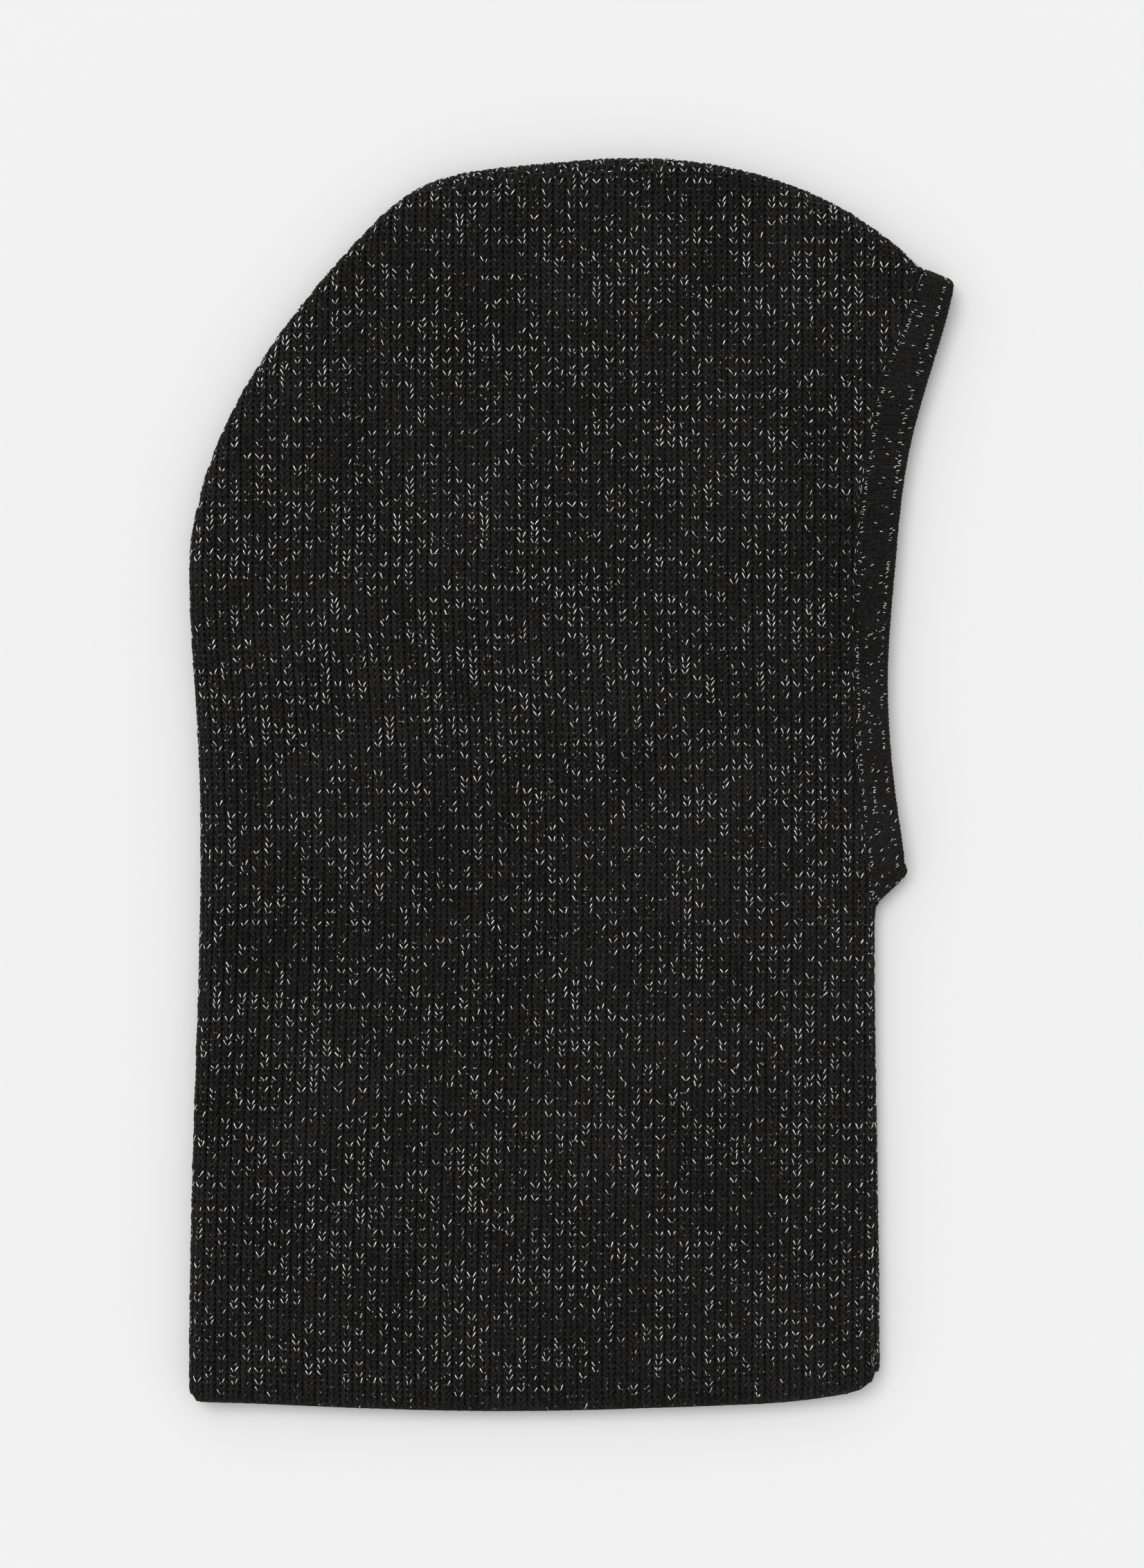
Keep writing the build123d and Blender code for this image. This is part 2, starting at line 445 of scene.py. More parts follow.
def yarn(name, light, rough, fibre):
    """A fuzzy yarn from near black up to a light tone, with fibres as wide as 1 / fibre."""
    material, tree, shader = node_material(name)
    where = add(tree, "ShaderNodeTexCoord").outputs["Object"]
    tone = add(tree, "ShaderNodeAttribute", attribute_name="tone").outputs["Fac"]
    patch = add(tree, "ShaderNodeTexNoise", Scale=30.0, Detail=3.0)
    fuzz = add(tree, "ShaderNodeTexNoise", Scale=fibre, Detail=3.0, Roughness=0.75)
    blotch = add(tree, "ShaderNodeTexNoise", Scale=110.0, Detail=2.0)
    for noise in (patch, fuzz, blotch):
        tree.links.new(where, noise.inputs["Vector"])
    sources = (
        (tone, TONE_WEIGHT),
        (patch.outputs["Fac"], PATCH_WEIGHT),
        (fuzz.outputs["Fac"], FUZZ_WEIGHT),
    )
    value = None
    for source, weight in sources:
        step = add(tree, "ShaderNodeMath", operation="MULTIPLY_ADD")
        tree.links.new(source, step.inputs[0])
        step.inputs[1].default_value = weight
        if value is None:  # centres the sum, as each noise is about 0.5 and a tone about 0.27
            step.inputs[2].default_value = 0.31 - (PATCH_WEIGHT + FUZZ_WEIGHT) / 2
        else:
            tree.links.new(value, step.inputs[2])
        value = step.outputs[0]
    ramp = add(tree, "ShaderNodeValToRGB")
    ramp.color_ramp.elements[0].color = (0.0010, 0.0010, 0.0010, 1)
    ramp.color_ramp.elements[1].color = (*light, 1)
    tree.links.new(value, ramp.inputs["Fac"])
    warmth = add(tree, "ShaderNodeValToRGB")
    warmth.color_ramp.elements[0].position, warmth.color_ramp.elements[1].position = 0.50, 0.60
    warmth.color_ramp.elements[0].color = (1.0, 0.97, 1.03, 1)
    warmth.color_ramp.elements[1].color = (1.04, 1.0, 0.80, 1)
    tree.links.new(blotch.outputs["Fac"], warmth.inputs["Fac"])
    tint = add(tree, "ShaderNodeMix", data_type="RGBA", blend_type="MULTIPLY")
    tint.inputs["Factor"].default_value = 1.0
    tree.links.new(ramp.outputs["Color"], tint.inputs["A"])
    tree.links.new(warmth.outputs["Color"], tint.inputs["B"])
    tree.links.new(tint.outputs["Result"], shader.inputs["Base Color"])
    spread = add(tree, "ShaderNodeMapRange", To_Min=rough - 0.10, To_Max=rough + 0.08)
    tree.links.new(fuzz.outputs["Fac"], spread.inputs["Value"])
    tree.links.new(spread.outputs["Result"], shader.inputs["Roughness"])
    bump = add(tree, "ShaderNodeBump", Strength=1.0, Distance=0.25 * mm)
    tree.links.new(fuzz.outputs["Fac"], bump.inputs["Height"])
    tree.links.new(bump.outputs["Normal"], shader.inputs["Normal"])
    shader.inputs["Sheen Weight"].default_value = 0.03
    shader.inputs["Sheen Roughness"].default_value = 0.5
    shader.inputs["Specular IOR Level"].default_value = 0.12
    return material


# %% Foil
def foil(name):
    """Metal thread whose roughness changes along it. Each glint's tone, from near black to bright, is
    partly the foil's own dullness and partly painted reflection: how much light that glint catches.
    """
    material, tree, shader = node_material(name)
    glint_tone_with_painted_light = add(tree, "ShaderNodeAttribute", attribute_name="tone").outputs["Fac"]
    where = add(tree, "ShaderNodeTexCoord").outputs["Object"]
    grain = add(tree, "ShaderNodeTexNoise", Scale=1500.0, Detail=2.0)
    tree.links.new(where, grain.inputs["Vector"])
    # The ramp paints part of each glint's light: dark tones stand in for foil that reflects the black
    # yarn, bright tones for foil that catches the light.
    ramp = add(tree, "ShaderNodeValToRGB")
    ramp.color_ramp.elements[0].color = (0.05, 0.05, 0.05, 1)
    ramp.color_ramp.elements[1].color = (0.95, 0.95, 0.95, 1)
    tree.links.new(glint_tone_with_painted_light, ramp.inputs["Fac"])
    tree.links.new(ramp.outputs["Color"], shader.inputs["Base Color"])
    spread = add(tree, "ShaderNodeMapRange", To_Min=0.22, To_Max=0.42)
    tree.links.new(grain.outputs["Fac"], spread.inputs["Value"])
    tree.links.new(spread.outputs["Result"], shader.inputs["Roughness"])
    bump = add(tree, "ShaderNodeBump", Strength=0.3, Distance=0.03 * mm)
    tree.links.new(grain.outputs["Fac"], bump.inputs["Height"])
    tree.links.new(bump.outputs["Normal"], shader.inputs["Normal"])
    shader.inputs["Metallic"].default_value = 1.0
    return material


# %% The finishes of this hood
RIB_YARN = yarn("rib_yarn", (0.021, 0.0207, 0.0205), 0.85, 1500.0)
BAND_YARN = yarn("band_yarn", (0.019, 0.0188, 0.0186), 0.82, 1800.0)
SEAM_YARN = yarn("linking_yarn", (0.019, 0.0188, 0.0186), 0.85, 1800.0)
SILVER = foil("silver_foil")
print("materials:", ", ".join(m.name for m in (RIB_YARN, BAND_YARN, SEAM_YARN, SILVER)))


# %% [markdown]
# ## The ground of the fabric
#
# Behind the stitches each half has a closed sheet of fabric. Its outer skin dips into a groove
# between the ribs, which is where the purl stitches sit out of sight. The sheet is filled with
# triangles in the flat, where its outline is a simple loop, and rolled over the edges afterwards.


# %% A thick sheet
GROUND = -1.25 * mm  # the ground's outer skin, from the outermost skin of the stitches
FABRIC = 3.2 * mm


def closed_sheet(name, flat, triangles, outer, side, material, tone, rim=PANEL_RIM):
    """A thick sheet from flat points and triangles, closed along its edge."""
    top, _ = roll(flat, outer, side, rim)
    under, _ = roll(flat, np.full(len(flat), -FABRIC), side, rim)
    edges = np.concatenate([triangles[:, [0, 1]], triangles[:, [1, 2]], triangles[:, [2, 0]]])
    code = edges[:, 0] * len(flat) + edges[:, 1]
    back = edges[:, 1] * len(flat) + edges[:, 0]
    edge = edges[~np.isin(code, back)]
    walls = np.stack([edge[:, 1], edge[:, 0], edge[:, 0] + len(flat), edge[:, 1] + len(flat)], 1)
    faces = [np.concatenate([triangles, triangles[:, ::-1] + len(flat)]), walls]
    if side == FAR:
        faces = [f[:, ::-1] for f in faces]
    return mesh_piece(name, np.concatenate([top, under]), faces, material, {"tone": np.tile(tone, 2)})


# %% Sheets for the two halves of the panel
GRID_UP = 3 * mm  # height of the sheet's grid; four columns of it go to a rib
GROOVE_DEPTH = 0.6 * mm


def gap_to_outline(points, outline):
    """The distance from many points to an outline, a few thousand at a time."""
    found = np.empty(len(points))
    for start in range(0, len(points), 3000):
        found[start : start + 3000] = gap_to(points[start : start + 3000], outline)
    return found


def panel_sheet(name, side):
    """The ground of one half of the panel, as a thick closed sheet."""
    outline = OUTLINE[side]
    size = outline.max(0) - outline.min(0)
    across, up = np.meshgrid(
        np.arange(0, size[0] + 20 * mm, RIB / 4), np.arange(0, size[1] + 10 * mm, GRID_UP)
    )
    grid = panel_place(across.ravel(), up.ravel())
    keep = inside(grid, outline)
    keep[keep] = gap_to_outline(grid[keep], outline) > 0.7 * mm
    flat = np.concatenate([outline, grid[keep]])
    loop = list(range(len(outline)))
    result = geometry.delaunay_2d_cdt([Vector(p) for p in flat.tolist()], [], [loop], 1, 1e-7, True)
    flat = np.array([tuple(v) for v in result[0]])
    triangles = np.array([f for f in result[2] if len(f) == 3])
    a, b, c = (flat[triangles[:, k]] for k in range(3))
    turned = np.cross(b - a, c - a) < 0
    triangles[turned] = triangles[turned][:, ::-1]
    triangles = triangles[inside((a + b + c) / 3, outline)]
    bend = back_curve(flat[:, 1])
    rib_at = (flat[:, 0] - back_line[:, 0].min() - bend) / (1 - bend / WIDTH)
    dip = 0.5 + 0.5 * np.cos(2 * math.pi * rib_at / RIB)
    piece = closed_sheet(name, flat, triangles, GROUND - GROOVE_DEPTH * dip, side, RIB_YARN, 0 * dip)
    return piece


ground = {side: panel_sheet(f"ground_{word}", side) for side, word in reversed(SIDES)}
for side in ground:
    print(ground[side].name, len(ground[side].data.polygons), "faces")


# %% [markdown]
# ## Stitches
#
# One knit stitch seen from its face is a V. Each leg starts low and wide under the stitch above,
# rises, and dives inwards to its apex. The apex points back to where the knitting began. Six points
# are enough for a leg, and arrays do the sums for all the legs of a half at once.


# %% Legs
LEG_ACROSS = np.array([0.43, 0.385, 0.27, 0.15, 0.06, 0.02])  # in ribs
LEG_ALONG = np.array([0.95, 0.62, 0.17, -0.28, -0.66, -0.90])  # in rows
LEG_RISE = np.array([-0.75, 0.0, 0.22, 0.20, -0.02, -0.80])  # in yarn radii
LEG_WIDTH = np.array([0.2, 0.86, 1.0, 1.0, 0.82, 0.2])  # in yarn radii


def leg_lines(place, across, up, rib, row, radius, depth, side, tuck=None, rim=PANEL_RIM):
    """Centre lines, ways out and radii for both legs of every stitch."""
    hand = np.repeat([1.0, -1.0], len(across))[:, None]
    across, up = np.tile(across, 2), np.tile(up, 2)
    count = len(across)
    swing = rng.normal(0, 0.035, (count, 1))
    fat = np.clip(rng.normal(1, 0.07, (count, 1)), 0.8, 1.2)
    at = across[:, None] + rib * hand * (LEG_ACROSS + swing * 0.5)
    level = up[:, None] + row * (LEG_ALONG + swing)
    flat = place(at, level).reshape(-1, 2)
    height = depth + radius * (LEG_RISE + rng.normal(0, 0.10, (count, 1)))
    if tuck is not None:
        flat, drop = tuck(flat)
        height = height - drop.reshape(count, -1)
    centre, out = roll(flat, height.ravel(), side, rim)
    shape = (count, len(LEG_ALONG), 3)
    return centre.reshape(shape), out.reshape(shape), radius * fat * LEG_WIDTH


def stitches(name, lines, material, most=3900, wide=1.0, tall=1.0, sides=6):
    """The legs as meshes, with no more than a set number of legs in each piece."""
    centre, out, radius = lines
    pieces = []
    for start in range(0, len(centre), most):
        part = slice(start, start + most)
        tail = f"_{len(pieces) + 1}" if len(centre) > most else ""
        radii = radius[part]
        co, faces, size = tubes(centre[part], out[part], wide * radii, tall * radii, sides, 0.09)
        tone = np.repeat(rng.uniform(0, 0.55, len(centre[part])), size)
        pieces.append(mesh_piece(name + tail, co, faces, material, {"tone": tone}))
    return pieces


# %% Glints
SPECK_SHARE = 0.30  # how many of the glints are only specks


def along_leg(lines, start, stop, points):
    """Points of each leg's centre line between two shares of its length."""
    centre, out, radius = lines
    t = (start[:, None] + (stop - start)[:, None] * np.linspace(0, 1, points)) * (centre.shape[1] - 1)
    low = np.clip(t.astype(int), 0, centre.shape[1] - 2)
    part = (t - low)[..., None]
    row = np.arange(len(centre))[:, None]
    mix = [a[row, low] * (1 - part) + a[row, low + 1] * part for a in (centre, out, radius[..., None])]
    return mix[0] + mix[1] * mix[2] * 0.86, mix[1]


# light gives the mean and spread of each glint's tone, which is partly painted reflection.
def glints(
    name, lines, chance, length=(0.36, 0.68), wide=0.215 * mm, skew=0.18 * mm, light=(0.93, 0.2)
):
    """Foil on the crown of some legs, with a chance for each leg.

    It crosses the leg at a slant, and lies towards the apex, so that a pair makes a small V.
    """
    chosen = np.nonzero(rng.uniform(size=len(chance)) < chance)[0]
    lines = tuple(a[chosen] for a in lines)
    count = len(chosen)
    speck = rng.uniform(size=count) < SPECK_SHARE
    share = rng.uniform(*length, count) * np.where(speck, 0.30, 1)
    spare = rng.uniform(0, 1, count)
    by_apex = np.clip(0.88 - share - 0.12 * spare, 0.02, 1)
    start = np.where(speck, 0.08 + spare * (0.82 - share), by_apex)
    line, out = along_leg(lines, start, start + share, 5)
    lift = np.array([-0.10, 0.05, 0.09, 0.05, -0.10]) * mm
    along = line[:, -1] - line[:, 0]
    sideways = np.cross(along, out[:, 2])
    sideways /= np.linalg.norm(sideways, axis=1)[:, None]
    slant = rng.normal(0, skew, (count, 1)) * np.linspace(-1, 1, 5)
    slant = slant + rng.normal(0, 0.1 * mm, (count, 1))
    line = line + out * lift[None, :, None] + sideways[:, None] * slant[..., None]
    co, faces, size = tubes(line, out, wide * rng.uniform(0.6, 1.1, (count, 1)), 0.07 * mm, 4)
    # Each glint's tone is partly the foil's own dullness and partly painted reflection, dim where the
    # glint would reflect the black yarn.
    foil_tone_and_painted_glint = np.clip(rng.normal(*light, count), 0.08, 1) * np.where(speck, 0.85, 1)
    return mesh_piece(name, co, faces, SILVER, {"tone": np.repeat(foil_tone_and_painted_glint, size)})


# %% [markdown]
# ## The ribbed panel
#
# Sixty ribs of up to two hundred rows cover each half. Stitches that fall outside the outline are left
# out, and those beside the face band are tucked under it. The foil shows on every second row more
# than on the rest, mostly on both legs of a stitch at once, and it comes and goes along the rows, as
# it does when one strand in the yarn twists in and out of sight.


# %% Room beside the groove
TUCK_FROM = 1.2 * mm  # how far from the groove's edge the stitches start to sink


def tuck_at_groove(flat):
    """Draw stitches in and down where they meet the face band."""
    beside = (flat[:, 1] > groove[0, 1] - 3 * mm) & (flat[:, 1] < groove[-1, 1] + 8 * mm)
    limit = np.interp(flat[:, 1], groove[:, 1], groove[:, 0]) - 0.75 * mm
    over = np.where(beside, np.clip(flat[:, 0] - limit + TUCK_FROM, 0, None), 0)
    flat = flat.copy()
    flat[:, 0] -= np.clip(over - TUCK_FROM, 0, None)
    return flat, 0.35 * np.clip(over, 0, 3 * mm)


# %% Knit both halves
YARN_RADIUS = 0.56 * mm
LEG_DEPTH = -0.66 * mm  # the legs' centre lines, from the outermost skin of the stitches


def knit_half(side, word):
    """Every stitch of one half of the panel, with its foil."""
    columns = np.arange(0.5, (OUTLINE[side][:, 0].max() - back_line[:, 0].min()) / RIB)
    rows = np.arange(0.90, (OUTLINE[side][:, 1].max() - LOWEST[1]) / ROW)
    across, up = (a.ravel() for a in np.meshgrid(columns * RIB, rows * ROW, indexing="ij"))
    middle = panel_place(across, up)
    keep = inside(middle, OUTLINE[side])
    across, up = across[keep], up[keep]
    lines = leg_lines(
        panel_place, across, up, RIB, ROW, YARN_RADIUS, LEG_DEPTH, side, tuck_at_groove
    )
    pieces = stitches(f"knit_{word}", lines, RIB_YARN)
    x, y = (lines[0][:, 2, k] / mm for k in (0, 1))
    row_number = np.tile(np.round(up / ROW), 2)
    drift = np.sin(x / 21 + 2.2 * row_number) + 0.6 * np.sin(y / 9 + x / 40 + 1.2 * np.sin(x / 23))
    often = np.where(row_number % 2 == 0, 0.54, 0.20)
    near_hem = smooth(np.tile(up, 2), 3 * mm, 9 * mm) * 0.8 + 0.2
    on_top = np.tile(rng.uniform(size=len(up)), 2) < often * (1 + 0.30 * drift) * near_hem
    shiny = glints(f"silver_{word}", lines, np.where(on_top, 0.84, 0.08 * near_hem))
    everywhere = np.full(len(often), 0.30)
    specks = glints(
        f"specks_{word}", lines, everywhere, (0.12, 0.4), 0.11 * mm, 0.35 * mm, (0.30, 0.18)
    )
    return pieces, shiny


knit = {side: knit_half(side, word) for side, word in SIDES}
for side in knit:
    print(len(knit[side][0]), "pieces of knitting,", len(knit[side][1].data.polygons), "faces of foil")


# %% [markdown]
# ## The face band
#
# The band is knitted finer, with its stitches running from the hood to the face, and is folded at
# the chin and at the top of the opening like the rest of the hood. It is placed between two lines,
# the groove and the face edge, because its width changes from one end to the other.


# %% The two lines of the band
FOLD_OVER = 1.0 * mm  # stitches reach this far past the outermost line, so that no gap shows
FACE_TRIM = 0.6 * mm  # how far the face edge is drawn in, away from the chin
CORNER_TRIM, CORNER_RUN = 2.4 * mm, 7 * mm  # how its corners are rounded
face_line = band_points[gap_to(band_points, groove) > 7 * mm]
face_line = face_line[np.argsort(face_line[:, 1])]
face_line = face_line[gap_to(face_line, np.concatenate([chin_rim, top_rim])) > 0.3 * mm]
trim = FACE_TRIM * smooth(face_line[:, 1], chin_rim[-1, 1], chin_rim[-1, 1] + 30 * mm)


def spread(line, count):
    """The same line with a set number of points."""
    return respaced(line, np.linalg.norm(np.diff(line, axis=0), axis=1).sum() / (count - 1))[:count]


def to_folds(line):
    """A line of the band, flat, carried on to the outermost line of the fold at both its ends."""
    line = respaced(line, STEP)
    line = line[past_rim(line, BAND_RIM)[1] < 2.5 * mm]
    ends = []
    for end, rim in ((line[0], chin_line), (line[-1], top_line)):
        way, past = past_rim(end[None], rim)
        over = np.arange(STEP, QUARTER + FOLD_OVER - past[0], STEP)[:, None]
        ends.append(end + over * way[0])
    return np.concatenate([ends[0][::-1], line, ends[1]])


inner_line = np.concatenate([chin_rim[2:3] + [0.6 * mm, 0], groove[8:] + [0.6 * mm, 0]])
band_inner, band_outer = to_folds(inner_line), to_folds(face_line - trim[:, None] * [1, 0])
stops = len(band_outer)
band_inner, band_outer = spread(band_inner, stops), spread(band_outer, stops)
stops = min(len(band_inner), len(band_outer))
band_inner, band_outer = band_inner[:stops], band_outer[:stops]
edge_run = np.minimum(np.arange(stops), np.arange(stops)[::-1]) * STEP - FOLD_OVER
corner = np.clip(1 - edge_run / CORNER_RUN, 0, 1)[:, None] ** 2
towards_groove = band_inner - band_outer
towards_groove /= np.linalg.norm(towards_groove, axis=1)[:, None]
band_outer = band_outer + CORNER_TRIM * corner * towards_groove
BAND = float(np.median(np.linalg.norm(band_outer - band_inner, axis=1)))
BAND_RIB, BAND_ROW = 1.6 * mm, 1.1 * mm
band_run = (stops - 1) * STEP


def band_place(along, across):
    """A point of the band: along it from the chin end, and across it from the groove."""
    at = np.clip(along / STEP, 0, len(band_inner) - 1.001)
    low = at.astype(int)
    part = (at - low)[..., None]
    inner = band_inner[low] * (1 - part) + band_inner[low + 1] * part
    outer = band_outer[low] * (1 - part) + band_outer[low + 1] * part
    share = (across / BAND)[..., None]
    return inner * (1 - share) + outer * share


# %% Knit both halves of the band
def band_ground(side, word):
    """The ground of one half of the band, as a thick closed sheet."""
    along = np.linspace(FOLD_OVER, band_run - FOLD_OVER, round(band_run / (0.8 * mm)))
    across = np.linspace(0, BAND - 0.25 * mm, 14)
    grid = band_place(*np.meshgrid(along, across, indexing="ij"))
    n, m = grid.shape[:2]
    flat = grid.reshape(-1, 2)
    first = (np.arange(n - 1)[:, None] * m + np.arange(m - 1)).ravel()
    halves = ([first, first + 1, first + m + 1], [first, first + m + 1, first + m])
    triangles = np.concatenate([np.stack(half, 1) for half in halves])
    a, b, c = (flat[triangles[:, k]] for k in range(3))
    if np.median(np.cross(b - a, c - a)) < 0:
        triangles = triangles[:, ::-1]
    dip = 0.5 + 0.5 * np.cos(2 * math.pi * np.repeat(along, m) / BAND_RIB)
    skin = -0.9 * mm - 0.3 * mm * dip
    name = f"band_ground_{word}"
    sheet = closed_sheet(name, flat, triangles, skin, side, BAND_YARN, 0 * dip, BAND_RIM)
    return sheet


def band_half(side, word):
    """One half of the band: its ground, its stitches and its foil."""
    sheet = band_ground(side, word)
    columns = np.arange(0.5, band_run / BAND_RIB) * BAND_RIB
    rows = np.arange(0.7, BAND / BAND_ROW - 0.3) * BAND_ROW
    u, v = (a.ravel() for a in np.meshgrid(columns, rows, indexing="ij"))
    lines = leg_lines(
        band_place, u, v, BAND_RIB, BAND_ROW, 0.35 * mm, -0.55 * mm, side, rim=BAND_RIM
    )
    pieces = stitches(f"band_knit_{word}", lines, BAND_YARN, sides=5)
    from_groove = np.tile(v, 2)
    up_the_band = np.tile(u, 2) / band_run
    from_face = BAND - from_groove - (1.9 + 1.3 * up_the_band) * mm
    middle_line = np.abs(from_groove - 5.2 * mm) < 0.55 * BAND_ROW
    face_row = np.abs(from_face) < 0.55 * BAND_ROW
    chance = np.where(from_groove < 1.2 * BAND_ROW, 0.42, 0.04)
    chance = np.where(middle_line, 0.04 + 0.34 * smooth(-up_the_band, -0.6, -0.3), chance)
    chance = np.where(face_row, 0.42, chance)
    shiny = glints(f"band_silver_{word}", lines, chance, (0.6, 0.85), 0.17 * mm, 0.12 * mm)
    return sheet, pieces, shiny


band = {side: band_half(side, word) for side, word in SIDES}
print("the band is", round(BAND / mm, 1), "mm wide and", round(band_run / mm), "mm long on each side")


# %% [markdown]
# ## Seams
#
# The pieces of the hood are joined by chains of small links: over the crown, down the throat, and
# along the groove beside the face band. The hem begins with a row of cast-on loops, and the face
# edge ends in two finer rows. A link looks like a stitch, so a chain is one column of small stitches
# laid along a line.


# %% A chain of links
def chain(
    name,
    line,
    side,
    link=2.2 * mm,
    wide=1.7 * mm,
    radius=0.36 * mm,
    depth=-0.5 * mm,
    silver=0.0,
    rim=PANEL_RIM,
):
    """A row of small stitches laid along a line of the flat fabric."""
    line = respaced(line, STEP)
    right = outward(line)
    run = (len(line) - 1) * STEP

    def place(across, along):
        at = np.clip(along / STEP, 0, len(line) - 1.001)
        low = at.astype(int)
        part = (at - low)[..., None]
        return (
            line[low] * (1 - part)
            + line[low + 1] * part
            + across[..., None] * (right[low] * (1 - part) + right[low + 1] * part)
        )

    along = np.arange(0.5, run / link - 0.4) * link
    lines = leg_lines(place, 0 * along, along, wide, link, radius, depth, side, rim=rim)
    pieces = stitches(name, lines, SEAM_YARN)
    if silver:
        chance = np.full(len(lines[0]), silver)
        pieces.append(glints(name + "_silver", lines, chance, (0.4, 0.7), 0.15 * mm))
    return pieces


# %% Every seam and edge
EDGE_ROWS = ((1, 0.45 * mm, -0.75 * mm), (2, 0.25 * mm, -1.55 * mm))  # number, how far in, depth
HEM_LOOPS_UP = 1.25 * mm
crown_line = crown_rim + outward(crown_rim) * (QUARTER - crown_shift(crown_rim))[:, None]
throat_line = throat_rim + outward(throat_rim) * QUARTER
crown_chain = chain("crown_chain", crown_line, NEAR, depth=-0.95 * mm, silver=0.08)
throat_chain = chain("throat_chain", throat_line, NEAR)
chin_chain = chain("chin_chain", np.concatenate([throat_line[-1:], chin_rim[:5]]), NEAR)
linking = {
    side: chain(f"linking_chain_{word}", groove[4:] + [0.1 * mm, 0], side, depth=-1.2 * mm, silver=0.3)
    for side, word in SIDES
}
for row, inset, depth in EDGE_ROWS:
    for side, word in SIDES:
        edge = band_outer[::-1] - [inset, 0]
        name = f"band_edge_{word}_{row}"
        chain(name, edge, side, 1.5 * mm, 1.3 * mm, 0.34 * mm, depth, rim=BAND_RIM)
for side, word in SIDES:
    chain(f"hem_loops_{word}", hem_flat + [0, HEM_LOOPS_UP], side, 2.1 * mm, 1.5 * mm, depth=-1.1 * mm)
print("seams:", ", ".join(p[0].name for p in (crown_chain, throat_chain, chin_chain)))


# %% [markdown]
# ## The yarn end
#
# The throat seam ends in a small curl of yarn and foil just above the hem. A Blender curve with a
# bevel would do, but the same tubes as for the stitches keep the finish alike. Each loop follows a
# spiral on the turned edge.


# %% A strand of yarn
def strand(name, points, radius, material, sides=8):
    """A smooth strand through a few points."""
    points = np.asarray(points, float)
    t = np.arange(len(points))
    fine = np.linspace(0, len(points) - 1, 14 * len(points))
    low = np.clip(fine.astype(int), 0, len(points) - 2)
    f = (fine - low)[:, None]
    before, after = np.clip(low - 1, 0, None), np.clip(low + 2, None, len(points) - 1)
    a, b, c, d = points[before], points[low], points[low + 1], points[after]
    bend, twist = 2 * a - 5 * b + 4 * c - d, 3 * b - a - 3 * c + d
    line = 0.5 * (2 * b + (c - a) * f + bend * f**2 + twist * f**3)
    up = np.tile([0.05, 0.03, 1.0], (len(line), 1))
    radii = np.full((1, len(line)), radius)
    radii[:, [0, -1]] *= 0.3
    co, faces, size = tubes(line[None], up[None], radii, radii, sides)
    piece = mesh_piece(name, co, faces, material, {"tone": np.full(len(co), 0.3)})
    return piece


# %% The knot at the foot of the throat seam
knot_low, knot_high = (np.array(c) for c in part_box("seam_end_knot"))
knot_at, knot_half = (knot_low[1] + knot_high[1]) / 2, (knot_high[1] - knot_low[1]) / 2
knot_rim = throat_rim[np.abs(throat_rim[:, 1] - knot_at).argmin()]


def knot_strand(name, turns, phase, reach, radius, drift, material):
    """A curl of yarn that lies on the turned edge, round and round."""
    angle = np.linspace(0, 2 * math.pi * turns, int(8 * turns) + 2) + phase
    grow = np.linspace(0.35, 1.0, len(angle)) * reach
    over = math.radians(36) + math.radians(15) * grow * np.cos(angle) + drift[0]
    up = knot_at - 2.5 * mm + 0.9 * knot_half * (grow * np.sin(angle) + drift[1])
    lift = TURN + radius + 0.15 * mm * (1 + np.sin(2.3 * angle + phase))
    points = np.column_stack([knot_rim[0] + lift * np.sin(over), up, MIDDLE + lift * np.cos(over)])
    return strand(name, points, radius, material)


knot = [
    knot_strand("knot_loop_1", 1.6, 0.3, 0.95, 0.24 * mm, (0.0, 0.0), SEAM_YARN),
    knot_strand("knot_loop_2", 1.3, 2.4, 0.80, 0.16 * mm, (0.05, -0.25), SILVER),
    knot_strand("knot_loop_3", 1.2, 4.1, 0.70, 0.13 * mm, (-0.04, 0.35), SILVER),
]
print("knot of", len(knot), "loops,", round(2 * knot_half / mm, 1), "mm high")


# %% [markdown]
# ## The care label
#
# A small satin label is sewn inside, beside the fold at the back of the neck. It is blank. It is a
# thin closed sheet with a slight wave, held at its upper edge by a row of short stitches.


# %% Satin
label_low, label_high = (np.array(c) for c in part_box("care_label"))


def label_material():
    """White satin with a fine weave."""
    material, tree, shader = node_material("white_satin")
    where = add(tree, "ShaderNodeTexCoord").outputs["Object"]
    weave = add(tree, "ShaderNodeTexWave", Scale=900.0, Distortion=0.6, Detail=1.0)
    tree.links.new(where, weave.inputs["Vector"])
    ramp = add(tree, "ShaderNodeValToRGB")
    ramp.color_ramp.elements[0].color = (0.62, 0.61, 0.58, 1)
    ramp.color_ramp.elements[1].color = (0.78, 0.77, 0.74, 1)
    tree.links.new(weave.outputs["Fac"], ramp.inputs["Fac"])
    tree.links.new(ramp.outputs["Color"], shader.inputs["Base Color"])
    spread = add(tree, "ShaderNodeMapRange", To_Min=0.35, To_Max=0.55)
    tree.links.new(weave.outputs["Fac"], spread.inputs["Value"])
    tree.links.new(spread.outputs["Result"], shader.inputs["Roughness"])
    bump = add(tree, "ShaderNodeBump", Strength=0.4, Distance=0.05 * mm)
    tree.links.new(weave.outputs["Fac"], bump.inputs["Height"])
    tree.links.new(bump.outputs["Normal"], shader.inputs["Normal"])
    return material


